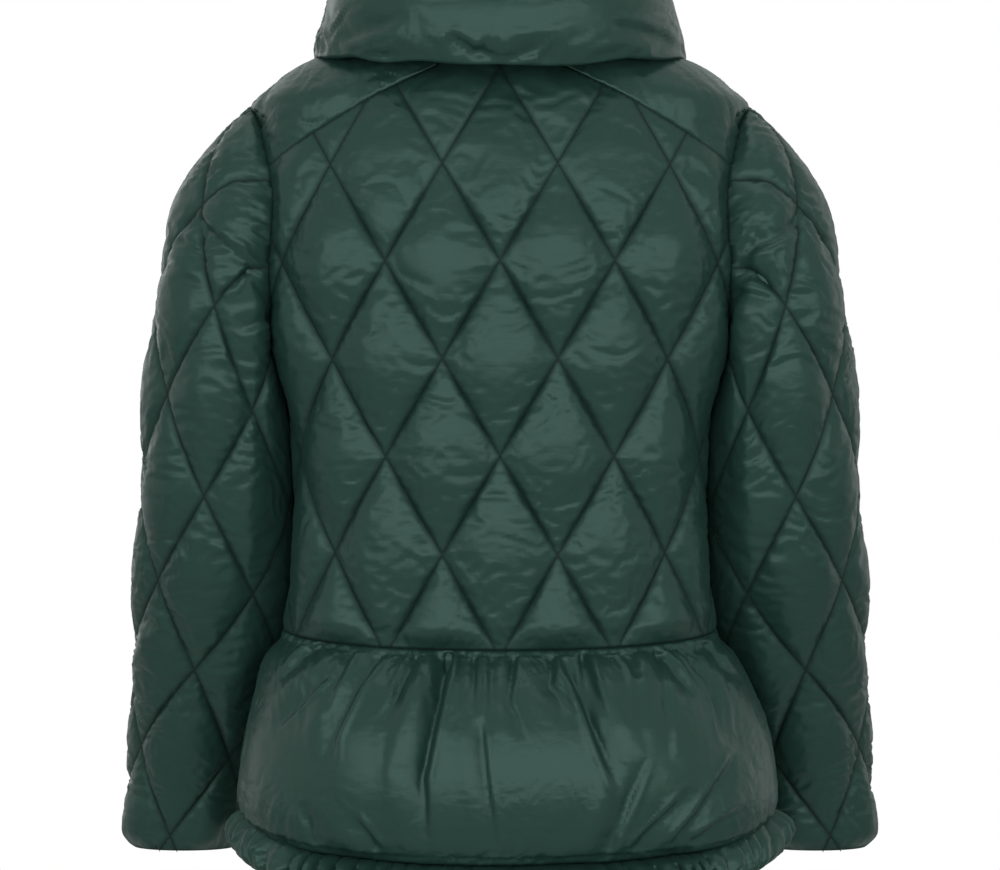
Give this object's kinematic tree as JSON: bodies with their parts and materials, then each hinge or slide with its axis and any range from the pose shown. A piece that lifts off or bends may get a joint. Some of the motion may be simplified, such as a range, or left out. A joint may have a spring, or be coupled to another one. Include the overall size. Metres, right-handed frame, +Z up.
{
  "type": "quilted down jacket with a gathered peplum",
  "caption": "Diamond-quilted down jacket with a padded fold-over collar, plain yokes, set-in sleeves, a gathered peplum and a hem frill, filled out as worn.",
  "frame": {"origin": "centre of the neck opening, level with the points where the shoulders meet the neck", "axes": "+Z up, -Y to the wearer's front, +X to the wearer's left"},
  "size_m": [0.6212, 0.3248, 0.7537],
  "materials": {
    "shell": "satin woven nylon, dark green",
    "zip_tape": "woven polyester tape, dark green",
    "zip_coil": "moulded nylon coil, dark green",
    "zip_metal": "dark gunmetal, satin"
  },
  "bodies": {
    "jacket": {"back": "shell", "yoke_left": "shell", "yoke_right": "shell", "front_left": "shell", "front_right": "shell", "sleeve_left": "shell", "sleeve_right": "shell", "collar": "shell", "peplum_back": "shell", "peplum_front_left": "shell", "peplum_front_right": "shell", "ruffle_back": "shell", "ruffle_front_left": "shell", "ruffle_front_right": "shell", "zip_tape_left": "zip_tape", "zip_tape_right": "zip_tape", "zip_coil": "zip_coil", "zip_slider": "zip_metal", "zip_stop": "zip_metal"},
    "pull": {"zip_pull": "zip_metal"}
  },
  "joints": [
    {"name": "pull_swing", "type": "hinge", "parent": "jacket", "child": "pull", "pos_m": [0, -0.11345, -0.076], "axis": [-1, 0, 0], "range_deg": [0, 140]}
  ]
}
